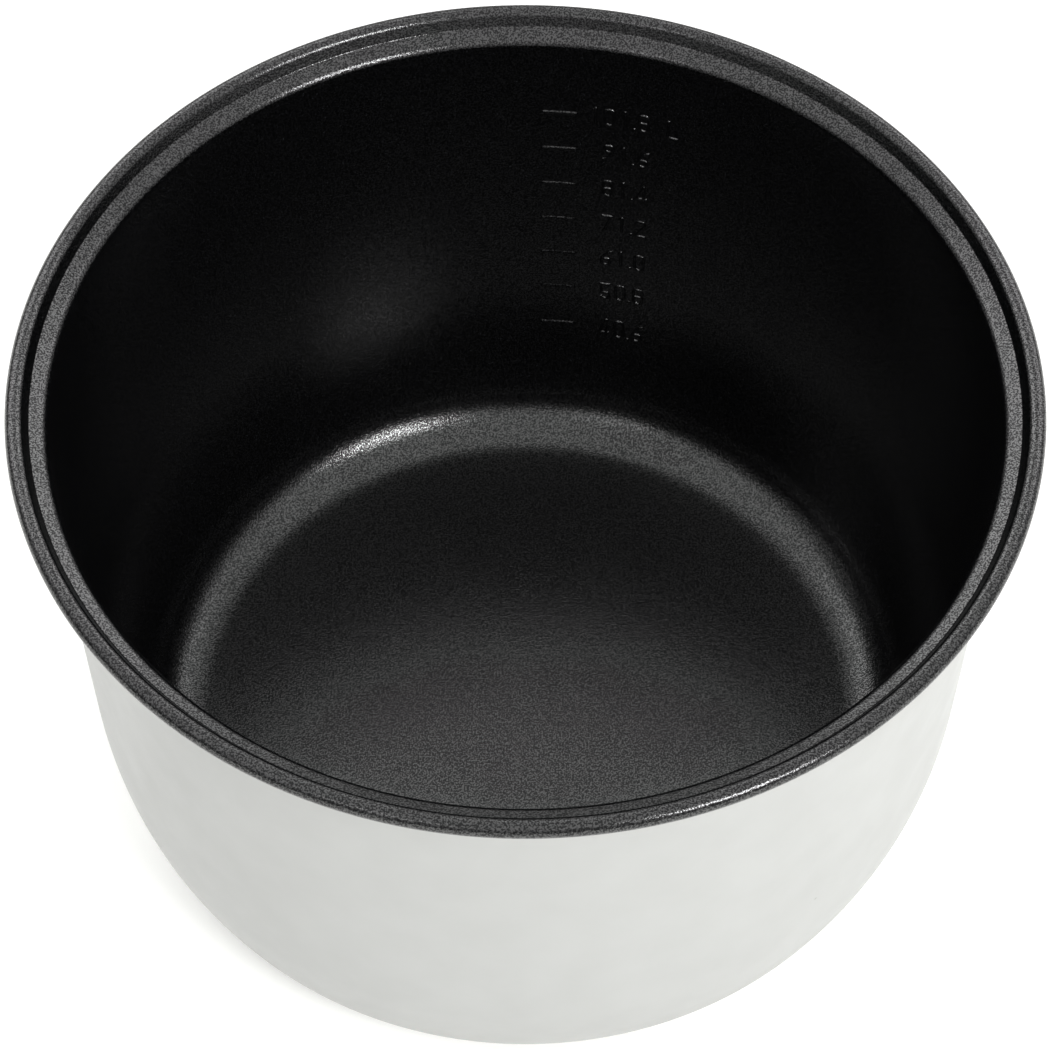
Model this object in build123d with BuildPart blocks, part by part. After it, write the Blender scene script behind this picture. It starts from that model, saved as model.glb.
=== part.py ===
"""Removable inner pot of a rice cooker: a drawn pan with its lining, lacquer and level scale.

Millimetres, +Z up, origin at the centre of the base's underside. The pot is round, so it is
drawn as one profile in (radius, height), and each layer lies between two parallels of it.
"""
import os
from math import asin, atan2, cos, degrees, hypot, radians, sin, sqrt, tan

from build123d import *

# Overall sizes
rim_diameter = 240.0       # across the coated bead
pot_height = 145.0         # from the base's underside to the top of the bead

# Layers, from the inside out
lining = 0.25              # non-stick coat
sheet = 1.5                # drawn aluminium
lacquer = 0.25             # paint on the outside

# Body, measured on the lining's surface
wall_taper = 1.9           # degrees from upright, narrower towards the floor
belly_start = 50.0         # height where the straight wall begins to curve inwards
belly_radius = 115.0       # gentle curve under the straight wall
corner_radius = 18.0       # tight curve into the flat floor

# Rim, measured on the lining's surface
bead_radius = 2.2          # rolled edge
step_run = 3.15            # from the bead's centre in to the crease of the lid's seat
step_drop = 1.45           # from the bead's centre down to that crease
crease_radius = 0.6
ledge_width = 4.2          # the lid's seat, from the crease in to the wall
ledge_slope = 20.6         # degrees, falling inwards so that drips run back
lip_radius = 3.0           # round between the wall and the ledge

# Where each layer ends, as an angle below level round its arc
curl_end = 80.0            # cut edge of the sheet, under the bead
lining_end = 60.0          # edge of the lining, under the bead
lacquer_end = 78.0         # edge of the lacquer, at the corner just above the bare base

# Level scale on the back wall
relief = 0.3               # how far the marks stand out of the lining
top_line_drop = 25.85      # from the rim's crease down to the highest line
low_line = 34.7            # height of the lowest line
line_count = 7
line_width = 9.2
line_thickness = 1.0
line_x = 8.75              # sideways place of the lines' middle
cup_x = 22.55              # right side of the cups column
litre_x = 31.35            # right side of the litres column
unit_x = 38.6              # right side of its unit
numeral_height = 5.6       # between the middles of the top and bottom strokes
numeral_width = 2.3        # between the middles of the left and right strokes
numeral_pitch = 3.5        # from one numeral to the next
point_pitch = 1.3          # from a decimal point to the next numeral
stroke = 0.6
top_cups = 10
top_litres = 1.8
litres_per_line = 0.2


def polar(angle, length=1.0):
    """A vector of a length, at an angle in degrees from the radial direction."""
    return Vector(length * cos(radians(angle)), length * sin(radians(angle)))


# The profile's corners: every one follows from the sizes above
floor_height = sheet + lining
bead_centre = Vector(rim_diameter / 2 - bead_radius, pot_height - bead_radius)
crease = bead_centre - Vector(step_run, step_drop)
step_slope = degrees(atan2(step_drop, step_run) + asin(bead_radius / hypot(step_run, step_drop)))
ledge_foot = crease - Vector(ledge_width, ledge_width * tan(radians(ledge_slope)))

crease_turn = step_slope - ledge_slope
crease_centre = (
    crease
    - polar(ledge_slope, crease_radius * tan(radians(crease_turn / 2)))
    + polar(ledge_slope + 90, crease_radius)
)
lip_turn = 90 - wall_taper - ledge_slope
lip_centre = (
    ledge_foot
    + polar(ledge_slope, lip_radius * tan(radians(lip_turn / 2)))
    - polar(ledge_slope + 90, lip_radius)
)
belly_top = Vector(
    ledge_foot.X - (ledge_foot.Y - belly_start) * tan(radians(wall_taper)), belly_start
)
belly_centre = belly_top - polar(-wall_taper, belly_radius)
corner_rise = floor_height + corner_radius - belly_centre.Y
corner_centre = belly_centre + Vector(
    sqrt((belly_radius - corner_radius) ** 2 - corner_rise**2), corner_rise
)
belly_end = degrees(atan2(corner_centre.Y - belly_centre.Y, corner_centre.X - belly_centre.X))
top_line = crease.Y - top_line_drop


def arcs(depth):
    """The profile's arcs at a depth under the lining's surface, from the floor to the bead.

    Each is a centre, a radius and the two angles between which it runs.
    """
    return {
        "corner": [corner_centre, corner_radius + depth, -90, belly_end],
        "belly": [belly_centre, belly_radius + depth, belly_end, -wall_taper],
        "lip": [lip_centre, lip_radius - depth, 180 - wall_taper, 90 + ledge_slope],
        "crease": [crease_centre, crease_radius + depth, ledge_slope - 90, step_slope - 90],
        "bead": [bead_centre, bead_radius - depth, step_slope + 90, -curl_end],
    }


def draw(chain, from_axis):
    """Draws a chain of arcs joined by straight runs, and returns its two ends.

    Two arcs that touch, such as the corner and the belly, have no run between them.
    """
    shortest_run = 0.001
    ends = []
    if from_axis:
        first = chain[0][0] + polar(chain[0][2], chain[0][1])
        ends = [Vector(0, first.Y)]
    for centre, radius, start, stop in chain:
        tip = centre + polar(start, radius)
        if ends and (tip - ends[-1]).length > shortest_run:
            Line(ends[-1], tip)
        CenterArc(centre, radius, start, stop - start)
        ends += [tip, centre + polar(stop, radius)]
    return ends[0], ends[-1]


def layer(inner, outer, names, first=None, last=None, from_axis=False):
    """The section of the layer between two depths, along the named arcs.

    first and last are the angles where it ends on its first and last arc, if not at their ends.
    """
    with BuildSketch(Plane.XZ) as section:
        with BuildLine():
            sides = []
            for depth in (inner, outer):
                chain = [list(arcs(depth)[name]) for name in names]
                if first is not None:
                    chain[0][2] = first
                if last is not None:
                    chain[-1][3] = last
                sides.append(draw(chain, from_axis))
            for near, far in zip(*sides):
                Line(near, far)
        make_face()
    return section.sketch


def wall_radius(height):
    """The radius of the lining's surface at a height on the straight wall or the belly."""
    if height > belly_start:
        return belly_top.X + (height - belly_start) * tan(radians(wall_taper))
    return belly_centre.X + sqrt(belly_radius**2 - (height - belly_centre.Y) ** 2)


whole_profile = ["corner", "belly", "lip", "crease", "bead"]
outside_wall = ["corner", "belly", "lip"]
inside_wall = ["belly", "lip"]


def keep_relief():
    """Cuts what is drawn on the back wall down to a raised layer on the lining."""
    revolve(layer(-relief, 0, inside_wall), axis=Axis.Z, mode=Mode.INTERSECT)


def line_heights():
    """The heights of the level lines, from the top one down.

    Each line takes as much off the volume as the one before, so the lines spread apart
    as the wall narrows: a gap is as wide as one over the square of the wall's radius.
    """
    gaps = line_count - 1
    middles = [top_line - (top_line - low_line) * (n + 0.5) / gaps for n in range(gaps)]
    shares = [wall_radius(middle) ** -2 for middle in middles]
    return [top_line - (top_line - low_line) * sum(shares[:n]) / sum(shares) for n in range(line_count)]


def bars(*points):
    """Straight strokes from each point to the next."""
    for start, stop in zip(points, points[1:]):
        run = Vector(stop) - Vector(start)
        with Locations((Vector(start) + Vector(stop)) / 2):
            SlotCenterToCenter(run.length, stroke, rotation=degrees(atan2(run.Y, run.X)))


def curve(centre, radius, start, size):
    """A stroke along an arc."""
    with BuildLine() as outline:
        inside = CenterArc(centre, radius - stroke / 2, start, size)
        outside = CenterArc(centre, radius + stroke / 2, start, size)
        Line(inside @ 0, outside @ 0)
        Line(inside @ 1, outside @ 1)
    make_face(outline.line)


def ring(centre, radius):
    """A stroke right round a circle."""
    curve(centre, radius, 0, 180)
    curve(centre, radius, 180, 180)


def numeral(symbol, left, height):
    """Draws one symbol in strokes, from its left side and about its mid height."""
    right = left + numeral_width
    bottom = height - numeral_height / 2
    top = height + numeral_height / 2
    bowl = numeral_width / 2
    centre = left + bowl
    low = bottom + bowl
    high = top - bowl
    sweep_radius = numeral_height - bowl
    if symbol in "08":
        curve((centre, high), bowl, 0, 180)
        curve((centre, low), bowl, 180, 180)
        bars((left, high), (left, low))
        bars((right, high), (right, low))
    if symbol == "8":
        bars((left, height), (right, height))
    elif symbol == "1":
        bars((left + bowl / 2, top - bowl / 2), (centre, top), (centre, bottom))
    elif symbol == "2":
        curve((centre, high), bowl, -35, 215)
        foot = Vector(centre, high) + polar(-35, bowl)
        bars(foot, (left, bottom), (right, bottom))
    elif symbol == "4":
        bars((right - bowl / 2, bottom), (right - bowl / 2, top), (left, low), (right, low))
    elif symbol == "5":
        curve((centre, low), bowl, -150, 290)
        shoulder = Vector(centre, low) + polar(140, bowl)
        bars(shoulder, (left, top), (right, top))
    elif symbol == "6":
        ring((centre, low), bowl)
        curve((left + sweep_radius, low), sweep_radius, 115, 65)
    elif symbol == "7":
        bars((left, top), (right, top), (centre - bowl / 2, bottom))
    elif symbol == "9":
        ring((centre, high), bowl)
        curve((right - sweep_radius, high), sweep_radius, -65, 65)
    elif symbol == "L":
        bars((left, top), (left, bottom), (right, bottom))
    elif symbol == ".":
        with Locations((left, bottom)):
            Circle(0.6 * stroke)


def write(text, right, height):
    """Draws a line of numerals that ends at its right side."""
    left = right - numeral_width + numeral_pitch
    for symbol in reversed(text):
        left -= point_pitch if symbol == "." else numeral_pitch
        numeral(symbol, left, height)


with BuildPart() as pan_shell:
    revolve(layer(lining, lining + sheet, whole_profile, from_axis=True), axis=Axis.Z)
pan_shell.part.label = "pan_shell"

with BuildPart() as nonstick_coat:
    revolve(layer(0, lining, whole_profile, last=-lining_end, from_axis=True), axis=Axis.Z)
nonstick_coat.part.label = "nonstick_coat"

with BuildPart() as outer_coat:
    skin = layer(lining + sheet, lining + sheet + lacquer, outside_wall, first=-lacquer_end)
    revolve(skin, axis=Axis.Z)
outer_coat.part.label = "outer_coat"

with BuildPart() as level_lines:
    with BuildSketch(Plane.XZ):
        with Locations(*[(line_x, height) for height in line_heights()]):
            Rectangle(line_width, line_thickness)
    extrude(amount=-rim_diameter / 2)
    keep_relief()
level_lines.part.label = "level_lines"

with BuildPart() as cup_numerals:
    with BuildSketch(Plane.XZ):
        for n, height in enumerate(line_heights()):
            write(str(top_cups - n), cup_x, height)
    extrude(amount=-rim_diameter / 2)
    keep_relief()
cup_numerals.part.label = "cup_numerals"

with BuildPart() as litre_numerals:
    with BuildSketch(Plane.XZ):
        for n, height in enumerate(line_heights()):
            write(f"{top_litres - litres_per_line * n:.1f}", litre_x, height)
        write("L", unit_x, top_line)
    extrude(amount=-rim_diameter / 2)
    keep_relief()
litre_numerals.part.label = "litre_numerals"

os.makedirs("parts", exist_ok=True)
for piece in (pan_shell, nonstick_coat, outer_coat, level_lines, cup_numerals, litre_numerals):
    export_step(piece.part, f"parts/{piece.part.label}.step")
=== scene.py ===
"""Inner pot of a rice cooker: its lining, pan, lacquer and level scale, in a small white studio."""

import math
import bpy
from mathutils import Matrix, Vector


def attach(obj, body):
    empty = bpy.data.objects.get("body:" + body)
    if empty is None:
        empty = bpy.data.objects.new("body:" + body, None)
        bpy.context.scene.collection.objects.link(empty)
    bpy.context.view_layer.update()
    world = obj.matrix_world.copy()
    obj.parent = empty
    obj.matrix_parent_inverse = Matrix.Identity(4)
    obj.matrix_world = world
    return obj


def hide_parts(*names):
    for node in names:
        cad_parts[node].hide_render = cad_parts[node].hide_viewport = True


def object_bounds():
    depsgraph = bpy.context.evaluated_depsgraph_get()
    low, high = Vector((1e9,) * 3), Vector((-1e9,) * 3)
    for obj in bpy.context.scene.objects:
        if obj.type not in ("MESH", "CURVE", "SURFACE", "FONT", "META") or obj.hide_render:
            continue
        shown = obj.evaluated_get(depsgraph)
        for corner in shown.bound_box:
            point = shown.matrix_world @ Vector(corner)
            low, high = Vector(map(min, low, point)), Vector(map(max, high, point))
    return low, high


bl_info = {
    "name": "Rice cooker inner pot",
    "version": (1, 0, 0),
    "blender": (4, 5, 0),
    "location": "View3D > Sidebar > Inner pot",
    "description": "Gives the pot's layers their finished surfaces and lights them in a studio",
    "category": "Object",
}

import bpy
import numpy as np
from bpy.props import FloatProperty, FloatVectorProperty, IntProperty, PointerProperty
from bpy.types import Operator, Panel, PropertyGroup
from mathutils import Vector

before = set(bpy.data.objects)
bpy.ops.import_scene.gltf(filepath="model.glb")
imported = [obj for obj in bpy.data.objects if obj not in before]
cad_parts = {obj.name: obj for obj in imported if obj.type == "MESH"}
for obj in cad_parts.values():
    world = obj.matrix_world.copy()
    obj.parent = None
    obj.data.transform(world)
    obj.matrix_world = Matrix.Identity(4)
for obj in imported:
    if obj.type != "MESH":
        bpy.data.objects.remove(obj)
CAD_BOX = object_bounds()
BODY = "root"
MM = 0.001


def linear(hex_colour):
    """An sRGB hex colour as linear red, green and blue."""
    channels = np.array([int(hex_colour[i : i + 2], 16) for i in (1, 3, 5)]) / 255
    low = channels / 12.92
    high = ((channels + 0.055) / 1.055) ** 2.4
    return tuple(float(c) for c in np.where(channels <= 0.04045, low, high))


def length(name, description, default):
    """A size in metres that a user may change."""
    return FloatProperty(
        name=name, description=description, default=default, min=0, precision=5, unit="LENGTH"
    )


def angle(name, description, degrees):
    """An angle that a user may change, given here in degrees."""
    return FloatProperty(
        name=name, description=description, default=math.radians(degrees), subtype="ANGLE"
    )


def colour(name, description, hex_colour):
    """A colour that a user may change."""
    return FloatVectorProperty(
        name=name, description=description, default=linear(hex_colour), subtype="COLOR",
        size=3, min=0, max=1,
    )


# ---------------------------------------------------------------- sizes and colours


class PotSizes(PropertyGroup):
    """The profile of the pot. Its overall sizes are the frame's."""

    rim_radius: length("Rim radius", "Axis to the outside of the bead", CAD_BOX[1].x)
    height: length("Height", "Base to the top of the bead", CAD_BOX[1].z)
    lining: length("Lining", "Thickness of the non-stick coat", 0.25 * MM)
    sheet: length("Sheet", "Thickness of the drawn aluminium", 1.5 * MM)
    lacquer: length("Lacquer", "Thickness of the outside paint", 0.25 * MM)
    wall_taper: angle("Wall taper", "Lean of the wall from upright", 1.9)
    belly_start: length("Belly start", "Height where the wall begins to curve in", 50 * MM)
    belly_radius: length("Belly radius", "Gentle curve under the wall", 115 * MM)
    corner_radius: length("Corner radius", "Tight curve into the floor", 18 * MM)
    bead_radius: length("Bead radius", "Rolled edge", 2.2 * MM)
    step_run: length("Step run", "Bead's centre in to the crease", 3.15 * MM)
    step_drop: length("Step drop", "Bead's centre down to the crease", 1.45 * MM)
    crease_radius: length("Crease radius", "Small hollow at the foot of the step", 0.6 * MM)
    ledge_width: length("Ledge width", "The lid's seat, crease to wall", 4.2 * MM)
    ledge_slope: angle("Ledge slope", "Fall of the lid's seat, inwards", 20.6)
    lip_radius: length("Lip radius", "Round between the wall and the ledge", 3 * MM)
    curl_end: angle("Curl end", "Where the sheet's edge is cut, under the bead", 80)
    lining_end: angle("Lining end", "Where the lining stops, under the bead", 60)
    lacquer_end: angle("Lacquer end", "Where the paint stops, at the corner", 78)


class ScaleSizes(PropertyGroup):
    """The raised level scale on the back wall. Its numerals are a guess."""

    relief: length("Relief", "How far the marks stand out", 0.3 * MM)
    top_line_drop: length("Top line drop", "Rim's crease down to the highest line", 25.85 * MM)
    low_line: length("Low line", "Height of the lowest line", 34.7 * MM)
    line_count: IntProperty(name="Lines", description="How many lines", default=7, min=2)
    line_width: length("Line width", "Length of each line", 9.2 * MM)
    line_thickness: length("Line thickness", "Width of each line's ridge", 1 * MM)
    line_x: length("Line place", "Sideways place of the lines' middle", 8.75 * MM)
    cup_x: length("Cups place", "Right side of the cups column", 22.55 * MM)
    litre_x: length("Litres place", "Right side of the litres column", 31.35 * MM)
    unit_x: length("Unit place", "Right side of the litres' unit", 38.6 * MM)
    numeral_height: length("Numeral height", "Between stroke middles", 5.6 * MM)
    numeral_width: length("Numeral width", "Between stroke middles", 2.3 * MM)
    numeral_pitch: length("Numeral pitch", "From one numeral to the next", 3.5 * MM)
    point_pitch: length("Point pitch", "Decimal point to the next numeral", 1.3 * MM)
    stroke: length("Stroke", "Width of a numeral's ridge", 0.6 * MM)
    top_cups: IntProperty(name="Top cups", description="Number at the top line", default=10)
    top_litres: FloatProperty(name="Top litres", description="Litres at the top", default=1.8)
    litre_step: FloatProperty(name="Litre step", description="Litres per line", default=0.2)


class PotColours(PropertyGroup):
    """The finishes' colours."""

    lining: colour("Lining", "Black fluoropolymer coat", "#0a0a0b")
    fleck: colour("Fleck", "Mica flecks in the lining", "#7d838c")
    lacquer: colour("Lacquer", "Light grey baked paint", "#a8a9a7")
    scuff: colour("Scuff", "Marks worn into the paint", "#7d7a74")
    aluminium: colour("Aluminium", "Bare spun sheet", "#c4c5c8")
    floor: colour("Floor", "Studio floor", "#f4f4f2")


# ---------------------------------------------------------------- profile and surfaces


def polar(turn, reach=1.0):
    """The point at an angle and a distance, in (radius, height)."""
    return np.array([math.cos(turn), math.sin(turn)]) * reach


def profile_arcs(s, depth):
    """The profile's arcs at a depth under the lining's surface, from the floor to the bead.

    All layers are parallels of one profile, so each arc keeps its centre and its two angles
    at every depth, and only its radius grows or shrinks by the depth.
    """
    bead = np.array([s.rim_radius - s.bead_radius, s.height - s.bead_radius])
    crease = bead - np.array([s.step_run, s.step_drop])
    step_reach = math.hypot(s.step_run, s.step_drop)
    step_slope = math.atan2(s.step_drop, s.step_run) + math.asin(s.bead_radius / step_reach)
    foot = crease - np.array([s.ledge_width, s.ledge_width * math.tan(s.ledge_slope)])
    quarter = math.pi / 2

    crease_tangent = s.crease_radius * math.tan((step_slope - s.ledge_slope) / 2)
    crease_centre = (
        crease - polar(s.ledge_slope, crease_tangent) + polar(s.ledge_slope + quarter, s.crease_radius)
    )
    lip_tangent = s.lip_radius * math.tan((quarter - s.wall_taper - s.ledge_slope) / 2)
    lip_centre = (
        foot + polar(s.ledge_slope, lip_tangent) - polar(s.ledge_slope + quarter, s.lip_radius)
    )
    belly_top = np.array(
        [foot[0] - (foot[1] - s.belly_start) * math.tan(s.wall_taper), s.belly_start]
    )
    belly_centre = belly_top - polar(-s.wall_taper, s.belly_radius)
    rise = s.lining + s.sheet + s.corner_radius - belly_centre[1]
    reach = s.belly_radius - s.corner_radius
    corner_centre = belly_centre + np.array([math.sqrt(reach**2 - rise**2), rise])
    belly_end = math.asin(rise / reach)
    return {
        "corner": [corner_centre, s.corner_radius + depth, -quarter, belly_end],
        "belly": [belly_centre, s.belly_radius + depth, belly_end, -s.wall_taper],
        "lip": [lip_centre, s.lip_radius - depth, math.pi - s.wall_taper, quarter + s.ledge_slope],
        "crease": [
            crease_centre, s.crease_radius + depth, s.ledge_slope - quarter, step_slope - quarter,
        ],
        "bead": [bead, s.bead_radius - depth, step_slope + quarter, -s.curl_end],
    }


ARC_POINTS = {"corner": 28, "belly": 20, "lip": 16, "crease": 8, "bead": 40}
WALL_RINGS = 14            # extra rings up a long straight run
LONG_RUN = 20 * MM
SHORTEST_RUN = 0.001 * MM  # arcs nearer than this touch, and share a ring
TURNS = 300                # steps round the pot
SHARP_EDGE = math.radians(40)


def profile_line(s, depth, names, first=None, last=None, from_axis=False):
    """The profile at a depth as points in (radius, height).

    Each named arc is centre + radius * (cos t, sin t) for t spread evenly from its first
    angle to its last, and the straight runs between arcs get rings where they are long.
    """
    chain = [list(profile_arcs(s, depth)[name]) for name in names]
    if first is not None:
        chain[0][2] = first
    if last is not None:
        chain[-1][3] = last
    pieces = []
    for name, (centre, radius, start, stop) in zip(names, chain):
        t = np.linspace(start, stop, ARC_POINTS[name])
        arc = centre + radius * np.stack([np.cos(t), np.sin(t)], axis=1)
        before = pieces[-1][-1] if pieces else np.array([0.0, arc[0][1]])
        if (pieces or from_axis) and np.linalg.norm(arc[0] - before) > LONG_RUN:
            share = np.linspace(0, 1, WALL_RINGS)[1:-1, None]
            pieces.append(before + share * (arc[0] - before))
        touching = pieces and np.linalg.norm(arc[0] - before) < SHORTEST_RUN
        pieces.append(arc[1:] if touching else arc)
    return np.concatenate(pieces)


def new_mesh(name, points, quads, triangles=()):
    """A mesh from whole arrays of points, quads and triangles, shaded smooth."""
    mesh = bpy.data.meshes.new(name)
    corners = np.concatenate([np.ravel(quads), np.ravel(triangles)]).astype(np.int32)
    totals = np.concatenate([np.full(len(quads), 4), np.full(len(triangles), 3)]).astype(np.int32)
    mesh.vertices.add(len(points))
    mesh.vertices.foreach_set("co", np.ravel(points).astype(np.float32))
    mesh.loops.add(len(corners))
    mesh.loops.foreach_set("vertex_index", corners)
    mesh.polygons.add(len(totals))
    starts = np.concatenate([[0], np.cumsum(totals)[:-1]]).astype(np.int32)
    mesh.polygons.foreach_set("loop_start", starts)
    mesh.update(calc_edges=True)
    mesh.validate()
    mesh.shade_smooth()
    mesh.set_sharp_from_angle(angle=SHARP_EDGE)
    obj = bpy.data.objects.new(name, mesh)
    bpy.context.scene.collection.objects.link(obj)
    return obj


def turned(name, section, closed_by_axis):
    """A section turned about the upright axis: (r cos a, r sin a, z) for a right round.

    section is a line of points in (radius, height) that runs up the lining's side and back
    down the far side. It ends on the axis at both ends, where one point is the pole, or else
    it is a loop.
    """
    a = np.linspace(0, 2 * math.pi, TURNS, endpoint=False)
    x = np.outer(np.cos(a), section[:, 0])
    y = np.outer(np.sin(a), section[:, 0])
    z = np.outer(np.ones(TURNS), section[:, 1])
    points = np.stack([x, y, z], axis=-1).reshape(-1, 3)
    count = len(section)
    here = np.arange(TURNS)[:, None] * count
    there = (np.arange(TURNS)[:, None] + 1) % TURNS * count
    up = np.arange(count - 1 if closed_by_axis else count)[None]
    nxt = (up + 1) % count
    quads = np.stack([here + up, here + nxt, there + nxt, there + up], axis=-1).reshape(-1, 4)
    triangles = np.zeros((0, 3), int)
    if closed_by_axis:
        poles = [[0, 0, section[0][1]], [0, 0, section[-1][1]]]
        low, high = len(points), len(points) + 1
        points = np.concatenate([points, poles])
        here, there = here[:, 0], there[:, 0]
        first = np.stack([np.full(TURNS, low), here, there], axis=1)
        last = np.stack([np.full(TURNS, high), there + count - 1, here + count - 1], axis=1)
        triangles = np.concatenate([first, last])
    return new_mesh(name, points, quads, triangles)


def layer(name, s, inner, outer, names, first=None, last=None, from_axis=False):
    """The layer of the pot between two depths, as one closed turned piece."""
    near = profile_line(s, inner, names, first, last, from_axis)
    far = profile_line(s, outer, names, first, last, from_axis)
    return turned(name, np.concatenate([near, far[::-1]]), from_axis)


# ---------------------------------------------------------------- the level scale


def numeral_strokes(m, symbol, left, height):
    """One symbol as strokes: bars between two points, and arcs by centre, radius and angles."""
    right = left + m.numeral_width
    bottom = height - m.numeral_height / 2
    top = height + m.numeral_height / 2
    bowl = m.numeral_width / 2
    centre = left + bowl
    low, high = bottom + bowl, top - bowl
    sweep = m.numeral_height - bowl
    sides = [("bar", (left, high), (left, low)), ("bar", (right, high), (right, low))]
    caps = [("arc", (centre, high), bowl, 0, 180), ("arc", (centre, low), bowl, 180, 360)]
    two_foot = tuple(np.array([centre, high]) + polar(math.radians(-35), bowl))
    five_shoulder = tuple(np.array([centre, low]) + polar(math.radians(140), bowl))
    shapes = {
        "0": sides + caps,
        "8": sides + caps + [("bar", (left, height), (right, height))],
        "1": [("bar", (left + bowl / 2, top - bowl / 2), (centre, top)),
              ("bar", (centre, top), (centre, bottom))],
        "2": [("arc", (centre, high), bowl, -35, 180), ("bar", two_foot, (left, bottom)),
              ("bar", (left, bottom), (right, bottom))],
        "4": [("bar", (right - bowl / 2, bottom), (right - bowl / 2, top)),
              ("bar", (right - bowl / 2, top), (left, low)), ("bar", (left, low), (right, low))],
        "5": [("arc", (centre, low), bowl, -150, 140), ("bar", five_shoulder, (left, top)),
              ("bar", (left, top), (right, top))],
        "6": [("arc", (centre, low), bowl, 0, 360),
              ("arc", (left + sweep, low), sweep, 115, 180)],
        "7": [("bar", (left, top), (right, top)),
              ("bar", (right, top), (centre - bowl / 2, bottom))],
        "9": [("arc", (centre, high), bowl, 0, 360),
              ("arc", (right - sweep, high), sweep, -65, 0)],
        "L": [("bar", (left, top), (left, bottom)), ("bar", (left, bottom), (right, bottom))],
        ".": [("bar", (left, bottom), (left, bottom + 0.1 * m.stroke))],
    }
    return shapes[symbol]


def written(m, text, right, height):
    """The strokes of a line of numerals that ends at its right side."""
    strokes = []
    left = right - m.numeral_width + m.numeral_pitch
    for symbol in reversed(text):
        left -= m.point_pitch if symbol == "." else m.numeral_pitch
        strokes += numeral_strokes(m, symbol, left, height)
    return strokes


def distance_to_stroke(x, z, stroke):
    """How far each point (x, z) is from a stroke's centre line.

    To a bar: from the point to its nearest place on the segment. To an arc: from its circle
    where the point's angle lies in the arc, and from the arc's nearer end elsewhere.
    """
    if stroke[0] == "bar":
        start, stop = np.array(stroke[1]), np.array(stroke[2])
        run = stop - start
        along = ((x - start[0]) * run[0] + (z - start[1]) * run[1]) / (run @ run)
        along = np.clip(along, 0, 1)
        return np.hypot(x - start[0] - along * run[0], z - start[1] - along * run[1])
    _, centre, radius, first, last = stroke
    dx, dz = x - centre[0], z - centre[1]
    to_circle = np.abs(np.hypot(dx, dz) - radius)
    turn = (np.degrees(np.arctan2(dz, dx)) - first) % 360
    ends = [np.array(centre) + polar(math.radians(t), radius) for t in (first, last)]
    to_ends = np.minimum(*[np.hypot(x - end[0], z - end[1]) for end in ends])
    return np.where(turn <= last - first, to_circle, to_ends)


def lining_radius(s, z):
    """The radius of the lining's surface at a height on the wall or the belly."""
    centre, radius = profile_arcs(s, 0)["belly"][:2]
    top = centre + polar(-s.wall_taper, radius)
    wall = top[0] + (z - top[1]) * math.tan(s.wall_taper)
    belly = centre[0] + np.sqrt(np.maximum(radius**2 - (z - centre[1]) ** 2, 0))
    return np.where(z > top[1], wall, belly)


def line_heights(s, m):
    """The heights of the level lines, from the top one down.

    Each line takes as much off the volume as the one before, so a gap is as wide as one
    over the square of the wall's radius.
    """
    top = s.height - s.bead_radius - s.step_drop - m.top_line_drop
    middles = (np.arange(m.line_count - 1) + 0.5) / (m.line_count - 1)
    shares = lining_radius(s, top - (top - m.low_line) * middles) ** -2
    return top - (top - m.low_line) * np.concatenate([[0], np.cumsum(shares)]) / shares.sum()


MARK_CELL = 0.14 * MM      # grid step over the marks
MARK_ROOT = 0.12 * MM      # how deep the marks' feet sit in the lining


def raised_marks(name, s, m, strokes, ridge):
    """Marks pressed up from the wall: height = relief * (1 + cos(pi d / w)) / 2 for d < w.

    d is the distance to the nearest stroke and w the ridge's width. The grid follows the
    wall round, and only its cells near a stroke are kept, with their feet in the lining.
    """
    corners = np.concatenate([
        np.array(k[1:3]) if k[0] == "bar" else np.array(k[1]) + np.array([[-k[2]], [k[2]]])
        for k in strokes
    ])
    low, high = corners.min(0) - 1.5 * ridge, corners.max(0) + 1.5 * ridge
    columns, rows = [int((high[i] - low[i]) / MARK_CELL) for i in (0, 1)]
    x, z = np.meshgrid(
        np.linspace(low[0], high[0], columns), np.linspace(low[1], high[1], rows), indexing="ij"
    )
    d = np.full(x.shape, 1.0)
    for stroke in strokes:
        d = np.minimum(d, distance_to_stroke(x, z, stroke))
    swell = (1 + np.cos(np.pi * np.clip(d / ridge, 0, 1))) / 2
    radius = lining_radius(s, z)
    turn = np.arcsin(x / radius)
    rise = (m.relief + MARK_ROOT) * swell - MARK_ROOT
    front = np.stack([(radius - rise) * np.sin(turn), (radius - rise) * np.cos(turn), z], axis=-1)
    near = d < ridge
    keep = near[:-1, :-1] & near[1:, :-1] & near[:-1, 1:] & near[1:, 1:]
    index = np.arange(x.size).reshape(x.shape)
    quads = np.stack([index[:-1, :-1], index[1:, :-1], index[1:, 1:], index[:-1, 1:]], axis=-1)[keep]
    used, quads = np.unique(quads, return_inverse=True)
    piece = new_mesh(name, front.reshape(-1, 3)[used], quads.reshape(-1, 4))
    backing = piece.modifiers.new("closed back", "SOLIDIFY")
    backing.thickness = MARK_ROOT / 2
    backing.offset = -1
    return piece


# ---------------------------------------------------------------- materials


def add_node(tree, kind, inputs=None, **settings):
    """Adds a node, sets its properties, and sets or links its inputs by name or number.

    A colour may be given to an input as three numbers.
    """
    node = tree.nodes.new(kind)
    for name, value in settings.items():
        setattr(node, name, value)
    for socket, value in (inputs or {}).items():
        if isinstance(value, bpy.types.NodeSocket):
            tree.links.new(value, node.inputs[socket])
        elif node.inputs[socket].type == "RGBA":
            node.inputs[socket].default_value = (*value[:3], 1)
        else:
            node.inputs[socket].default_value = value
    return node


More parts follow.
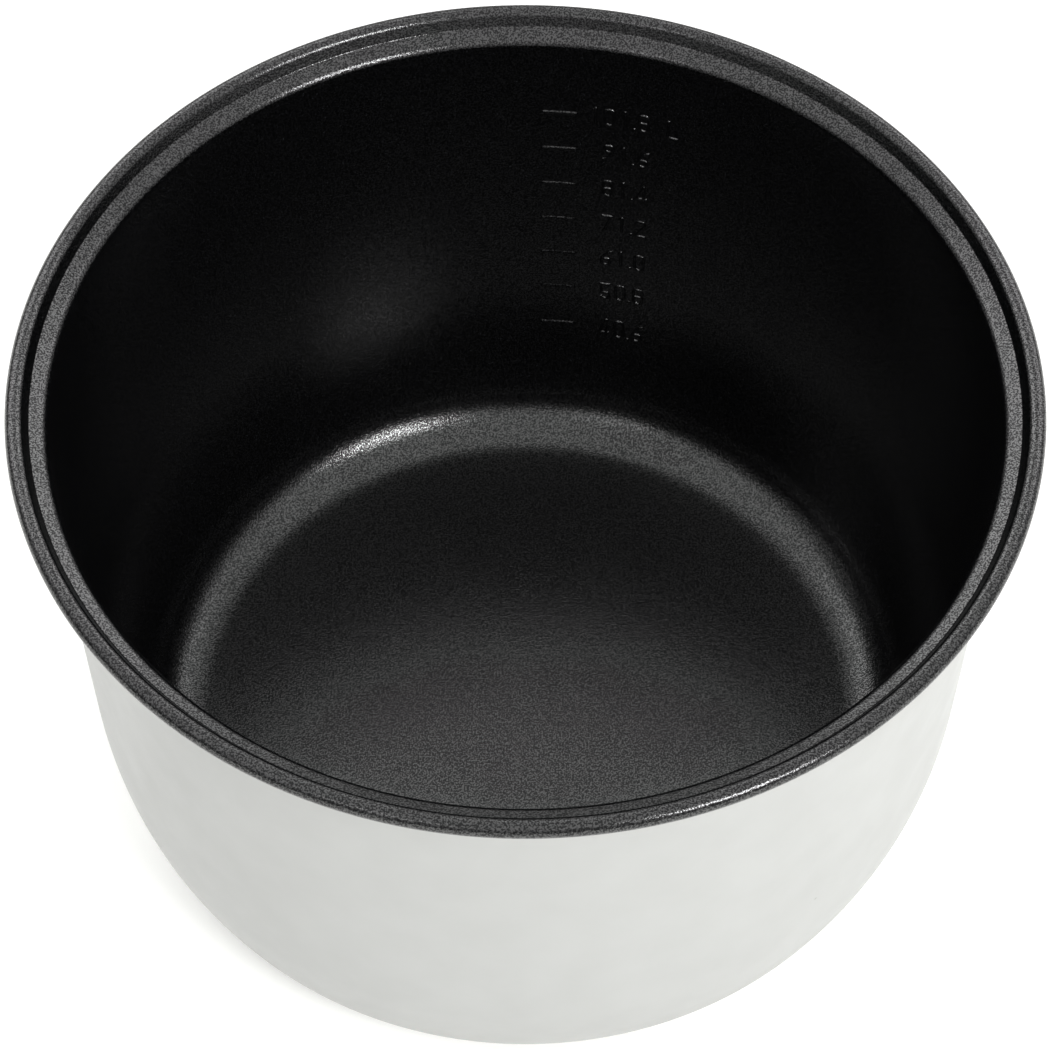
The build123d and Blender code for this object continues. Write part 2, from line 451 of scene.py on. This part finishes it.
def new_material(name):
    """An empty material, with the place of each point on the piece for its patterns."""
    material = bpy.data.materials.new(name)
    material.use_nodes = True
    tree = material.node_tree
    tree.nodes.clear()
    place = add_node(tree, "ShaderNodeTexCoord").outputs["Object"]
    return material, tree, place


def finish_material(tree, shader):
    """Joins a shader to the material's output."""
    add_node(tree, "ShaderNodeOutputMaterial", {"Surface": shader.outputs["BSDF"]})


GRIT = 0.42 * MM           # sprayed grit of the coat, drawn coarser than it is
GRIT_HEIGHT = 0.05 * MM    # how far the grit stands up
PIT_DEPTH = 0.75           # share of the gloss lost in the deepest pits
FLECK = 0.55 * MM          # spacing of its mica flecks, drawn coarser too
CLOUD = 14 * MM            # slow unevenness of a sprayed coat
PEEL = 0.9 * MM            # orange peel in the baked paint
SCUFF_GRID = 17 * MM       # one possible scuff in each patch of paint this wide
TURNING = 0.45 * MM        # pitch of the turning marks on the bare base


def nonstick_material(c):
    """Sprayed and baked fluoropolymer with mica: near black, satin, gritty, with pale flecks.

    The grit tilts the surface, and its pits hold light back, which is drawn as metal as black
    as the coat: there the gloss goes and the colour stays.
    """
    material, tree, place = new_material("sprayed_nonstick_coat")
    grit = add_node(tree, "ShaderNodeTexNoise",
                    {"Vector": place, "Scale": 1 / GRIT, "Detail": 1.0, "Roughness": 0.5})
    fleck = add_node(tree, "ShaderNodeTexVoronoi", {"Vector": place, "Scale": 1 / FLECK})
    cloud = add_node(tree, "ShaderNodeTexNoise", {"Vector": place, "Scale": 1 / CLOUD, "Detail": 3.0})
    point = add_node(tree, "ShaderNodeMapRange", {
        "Value": fleck.outputs["Distance"], "From Min": 0.3, "From Max": 0.12})
    chosen = add_node(tree, "ShaderNodeMapRange", {
        "Value": fleck.outputs["Color"], "From Min": 0.7, "From Max": 0.95, "To Max": 0.16})
    factor = add_node(tree, "ShaderNodeMath", {
        0: point.outputs["Result"], 1: chosen.outputs["Result"]}, operation="MULTIPLY")
    shade = add_node(tree, "ShaderNodeMix", {
        "Factor": factor.outputs["Value"], 6: c.lining, 7: c.fleck}, data_type="RGBA")
    pits = add_node(tree, "ShaderNodeMapRange", {
        "Value": grit.outputs["Fac"], "From Min": 0.58, "From Max": 0.44, "To Max": PIT_DEPTH})
    gloss = add_node(tree, "ShaderNodeMapRange", {
        "Value": cloud.outputs["Fac"], "From Min": 0.3, "From Max": 0.7, "To Min": 0.15,
        "To Max": 0.19})
    bump = add_node(tree, "ShaderNodeBump", {
        "Height": grit.outputs["Fac"], "Strength": 1.0, "Distance": GRIT_HEIGHT})
    finish_material(tree, add_node(tree, "ShaderNodeBsdfPrincipled", {
        "Base Color": shade.outputs[2], "Metallic": pits.outputs["Result"],
        "Roughness": gloss.outputs["Result"], "Normal": bump.outputs["Normal"], "IOR": 1.8}))
    return material


def lacquer_material(c):
    """Light grey silicone paint baked on aluminium: satin, faint orange peel, a few scuffs."""
    material, tree, place = new_material("baked_grey_paint")
    cloud = add_node(tree, "ShaderNodeTexNoise", {"Vector": place, "Scale": 1 / CLOUD, "Detail": 4.0})
    peel = add_node(tree, "ShaderNodeTexNoise", {"Vector": place, "Scale": 1 / PEEL, "Detail": 1.0})
    spots = add_node(tree, "ShaderNodeTexVoronoi", {"Vector": place, "Scale": 1 / SCUFF_GRID})
    rare = add_node(tree, "ShaderNodeMapRange", {
        "Value": spots.outputs["Color"], "From Min": 0.62, "From Max": 0.66, "To Max": 0.7})
    dot = add_node(tree, "ShaderNodeMapRange", {
        "Value": spots.outputs["Distance"], "From Min": 0.04, "From Max": 0.02})
    scuff = add_node(tree, "ShaderNodeMath", {
        0: dot.outputs["Result"], 1: rare.outputs["Result"]}, operation="MULTIPLY")
    haze = add_node(tree, "ShaderNodeMapRange", {
        "Value": cloud.outputs["Fac"], "From Min": 0.3, "From Max": 0.7, "To Max": 0.05})
    tone = add_node(tree, "ShaderNodeMix", {
        "Factor": haze.outputs["Result"], 6: c.lacquer, 7: c.scuff}, data_type="RGBA")
    worn = add_node(tree, "ShaderNodeMix", {
        "Factor": scuff.outputs["Value"], 6: tone.outputs[2], 7: c.scuff}, data_type="RGBA")
    gloss = add_node(tree, "ShaderNodeMapRange", {
        "Value": cloud.outputs["Fac"], "From Min": 0.3, "From Max": 0.7, "To Min": 0.42,
        "To Max": 0.5})
    bump = add_node(tree, "ShaderNodeBump", {
        "Height": peel.outputs["Fac"], "Strength": 0.12, "Distance": 0.05 * MM})
    finish_material(tree, add_node(tree, "ShaderNodeBsdfPrincipled", {
        "Base Color": worn.outputs[2], "Roughness": gloss.outputs["Result"],
        "Normal": bump.outputs["Normal"], "IOR": 1.5}))
    return material


def aluminium_material(c):
    """Bare spun aluminium: turning rings round the axis, bright but not mirror smooth."""
    material, tree, place = new_material("spun_aluminium")
    rings = add_node(tree, "ShaderNodeTexWave", {
        "Vector": place, "Scale": 0.05 / TURNING, "Distortion": 0.6, "Detail": 2.0},
        wave_type="RINGS", rings_direction="Z")
    smear = add_node(tree, "ShaderNodeTexNoise", {"Vector": place, "Scale": 1 / CLOUD, "Detail": 5.0})
    haze = add_node(tree, "ShaderNodeMapRange", {
        "Value": smear.outputs["Fac"], "From Min": 0.3, "From Max": 0.75, "To Max": 0.3})
    tone = add_node(tree, "ShaderNodeMix", {
        "Factor": haze.outputs["Result"], 6: c.aluminium, 7: c.scuff}, data_type="RGBA")
    gloss = add_node(tree, "ShaderNodeMapRange", {
        "Value": smear.outputs["Fac"], "From Min": 0.3, "From Max": 0.7, "To Min": 0.26,
        "To Max": 0.38})
    bump = add_node(tree, "ShaderNodeBump", {
        "Height": rings.outputs["Fac"], "Strength": 0.5, "Distance": 0.02 * MM})
    finish_material(tree, add_node(tree, "ShaderNodeBsdfPrincipled", {
        "Base Color": tone.outputs[2], "Roughness": gloss.outputs["Result"],
        "Normal": bump.outputs["Normal"], "Metallic": 1.0}))
    return material


def floor_material(c):
    """Studio floor: matt, nearly white, and lit a little from below like a light table."""
    material, tree, place = new_material("pale_floor")
    grain = add_node(tree, "ShaderNodeTexNoise", {"Vector": place, "Scale": 1 / (2 * MM)})
    haze = add_node(tree, "ShaderNodeMapRange", {"Value": grain.outputs["Fac"], "To Max": 0.02})
    tone = add_node(tree, "ShaderNodeMix", {
        "Factor": haze.outputs["Result"], 6: c.floor, 7: c.lacquer}, data_type="RGBA")
    finish_material(tree, add_node(tree, "ShaderNodeBsdfPrincipled", {
        "Base Color": tone.outputs[2], "Roughness": 0.9, "Specular IOR Level": 0.0,
        "Emission Color": c.floor, "Emission Strength": FLOOR_GLOW}))
    return material


def shared_material(name, maker, colours):
    """The material of that name, made the first time it is asked for."""
    return bpy.data.materials.get(name) or maker(colours)


def fit_piece(piece, material, slot, *nodes):
    """Gives a piece its material and ties it to the frame in place of CAD nodes."""
    piece.data.materials.append(material)
    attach(piece, BODY)
    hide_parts(*nodes)


# ---------------------------------------------------------------- operators

WHOLE_PROFILE = ["corner", "belly", "lip", "crease", "bead"]
OUTSIDE_WALL = ["corner", "belly", "lip"]


class POT_OT_pan(Operator):
    """Turn the drawn aluminium pan, bare under its base and at its cut edge"""

    bl_idname = "pot.pan"
    bl_label = "Drawn pan"

    def execute(self, context):
        s, c = context.scene.pot_sizes, context.scene.pot_colours
        pan = layer("drawn_pan", s, s.lining, s.lining + s.sheet, WHOLE_PROFILE, from_axis=True)
        fit_piece(pan, shared_material("spun_aluminium", aluminium_material, c),
                  "bare_aluminium", "pan_shell")
        return {"FINISHED"}


class POT_OT_lining(Operator):
    """Spray the non-stick lining over the inside, the ledge and the bead"""

    bl_idname = "pot.lining"
    bl_label = "Non-stick lining"

    def execute(self, context):
        s, c = context.scene.pot_sizes, context.scene.pot_colours
        lining = layer("nonstick_lining", s, 0, s.lining, WHOLE_PROFILE, last=-s.lining_end,
                       from_axis=True)
        fit_piece(lining, shared_material("sprayed_nonstick_coat", nonstick_material, c),
                  "nonstick_lining", "nonstick_coat")
        return {"FINISHED"}


class POT_OT_lacquer(Operator):
    """Paint the outside wall light grey, down to the bare base"""

    bl_idname = "pot.lacquer"
    bl_label = "Outside paint"

    def execute(self, context):
        s, c = context.scene.pot_sizes, context.scene.pot_colours
        start = s.lining + s.sheet
        paint = layer("outside_paint", s, start, start + s.lacquer, OUTSIDE_WALL,
                      first=-s.lacquer_end)
        fit_piece(paint, shared_material("baked_grey_paint", lacquer_material, c),
                  "grey_lacquer", "outer_coat")
        return {"FINISHED"}


class POT_OT_scale(Operator):
    """Raise the level lines and both columns of numerals on the back wall"""

    bl_idname = "pot.scale"
    bl_label = "Level scale"

    def execute(self, context):
        s, m, c = context.scene.pot_sizes, context.scene.pot_scale, context.scene.pot_colours
        heights = line_heights(s, m)
        half = (m.line_width - m.line_thickness) / 2
        lines = [("bar", (m.line_x - half, z), (m.line_x + half, z)) for z in heights]
        cups, litres = [], written(m, "L", m.unit_x, heights[0])
        for n, z in enumerate(heights):
            cups += written(m, str(m.top_cups - n), m.cup_x, z)
            litres += written(m, f"{m.top_litres - m.litre_step * n:.1f}", m.litre_x, z)
        material = shared_material("sprayed_nonstick_coat", nonstick_material, c)
        for name, strokes, ridge, node in (
            ("raised_level_lines", lines, m.line_thickness, "level_lines"),
            ("raised_cup_numerals", cups, m.stroke, "cup_numerals"),
            ("raised_litre_numerals", litres, m.stroke, "litre_numerals"),
        ):
            fit_piece(raised_marks(name, s, m, strokes, ridge), material, "raised_marks", node)
        return {"FINISHED"}


# ---------------------------------------------------------------- studio

CAMERA_PLACE = Vector((0.0, -0.5017, 0.7963))
CAMERA_TILT = 54.69        # degrees below level
CAMERA_LENS = 122.05       # millimetres on a 36 mm frame
SKY_LOW = 0.5              # brightness of the white surround at the horizon
SKY_HIGH = 1.35            # and overhead
LIGHT_REACH = 1.3          # from the rim to each softbox
FLOOR_SIZE = 6.0
SOFTBOXES = (              # name, azimuth, elevation, width, height, brightness
    ("key_softbox", 39.7, 34, 0.42, 0.36, 20.0),
    ("fill_softbox", -26, 36, 0.25, 0.25, 2.5),
    ("left_bank", -143, 36, 1.16, 0.75, 1.7),
    ("right_bank", 144, 33, 1.1, 0.7, 1.6),
)
SIDE_SHARE = 0.4           # how much brighter its right side is, and its left side darker
FLOOR_GLOW = 0.15          # the floor is a light table, lit from below


def soft_light(name, azimuth, elevation, width, height, brightness, aim):
    """A softbox in a direction from the pot: azimuth 0 is the camera's side, 90 its right."""
    a, e = math.radians(azimuth), math.radians(elevation)
    way = Vector((math.sin(a) * math.cos(e), -math.cos(a) * math.cos(e), math.sin(e)))
    data = bpy.data.lights.new(name, "AREA")
    data.shape = "RECTANGLE"
    data.size, data.size_y = width, height
    data.energy = math.pi * width * height * brightness
    lamp = bpy.data.objects.new(name, data)
    lamp.location = aim + way * LIGHT_REACH
    lamp.rotation_mode = "QUATERNION"
    lamp.rotation_quaternion = way.to_track_quat("Z", "Y")
    lamp.visible_camera = False
    bpy.context.scene.collection.objects.link(lamp)


def surround():
    """A white room, rising from SKY_LOW at the horizon to SKY_HIGH overhead.

    Near the horizon it is brighter on the right, by SIDE_SHARE each way.
    """
    world = bpy.data.worlds.new("white_surround")
    bpy.context.scene.world = world
    world.use_nodes = True
    tree = world.node_tree
    tree.nodes.clear()
    way = add_node(tree, "ShaderNodeTexCoord").outputs["Generated"]
    split = add_node(tree, "ShaderNodeSeparateXYZ", {"Vector": way})
    side = add_node(tree, "ShaderNodeMath", {
        0: split.outputs["X"], 1: SIDE_SHARE, 2: 1.0}, operation="MULTIPLY_ADD")
    low = add_node(tree, "ShaderNodeMath", {
        0: side.outputs["Value"], 1: SKY_LOW}, operation="MULTIPLY")
    glow = add_node(tree, "ShaderNodeMapRange", {
        "Value": split.outputs["Z"], "From Min": 0.1, "From Max": 0.7,
        "To Min": low.outputs["Value"], "To Max": SKY_HIGH})
    light = add_node(tree, "ShaderNodeBackground", {
        "Strength": glow.outputs["Result"], "Color": (1, 1, 1)})
    add_node(tree, "ShaderNodeOutputWorld", {"Surface": light.outputs["Background"]})


class POT_OT_stage(Operator):
    """Set the pale floor, the surround, the softboxes and the camera"""

    bl_idname = "pot.stage"
    bl_label = "Studio"

    def execute(self, context):
        s, c = context.scene.pot_sizes, context.scene.pot_colours
        half = FLOOR_SIZE / 2
        corners = [(-half, -half, 0), (half, -half, 0), (half, half, 0), (-half, half, 0)]
        floor = new_mesh("studio_floor", np.array(corners), np.array([[0, 1, 2, 3]]))
        floor.data.materials.append(floor_material(c))
        surround()
        rim = Vector((0, 0, s.height))
        for name, azimuth, elevation, width, height, brightness in SOFTBOXES:
            soft_light(name, azimuth, elevation, width, height, brightness, rim)

        data = bpy.data.cameras.new("studio_camera")
        data.sensor_width = 36
        data.lens = CAMERA_LENS
        camera = bpy.data.objects.new("studio_camera", data)
        camera.location = CAMERA_PLACE
        camera.rotation_euler = (math.radians(90 - CAMERA_TILT), 0, 0)
        context.scene.collection.objects.link(camera)
        context.scene.camera = camera
        context.scene.view_settings.view_transform = "Standard"
        return {"FINISHED"}


class POT_PT_panel(Panel):
    """Lists the steps that build the pot."""

    bl_idname = "POT_PT_panel"
    bl_label = "Inner pot"
    bl_space_type = "VIEW_3D"
    bl_region_type = "UI"
    bl_category = "Inner pot"

    def draw(self, context):
        for step in STEPS:
            self.layout.operator(step.bl_idname)


STEPS = (POT_OT_pan, POT_OT_lining, POT_OT_lacquer, POT_OT_scale, POT_OT_stage)
CLASSES = (PotSizes, ScaleSizes, PotColours, *STEPS, POT_PT_panel)
GROUPS = {"pot_sizes": PotSizes, "pot_scale": ScaleSizes, "pot_colours": PotColours}


def register():
    """Registers the classes and puts the property groups on the scene."""
    for cls in CLASSES:
        bpy.utils.register_class(cls)
    for name, group in GROUPS.items():
        setattr(bpy.types.Scene, name, PointerProperty(type=group))


def unregister():
    """Removes what register() added."""
    for name in GROUPS:
        delattr(bpy.types.Scene, name)
    for cls in reversed(CLASSES):
        bpy.utils.unregister_class(cls)


def main():
    register()
    bpy.ops.pot.pan()
    bpy.ops.pot.lining()
    bpy.ops.pot.lacquer()
    bpy.ops.pot.scale()
    bpy.ops.pot.stage()


if __name__ == "__main__":
    main()
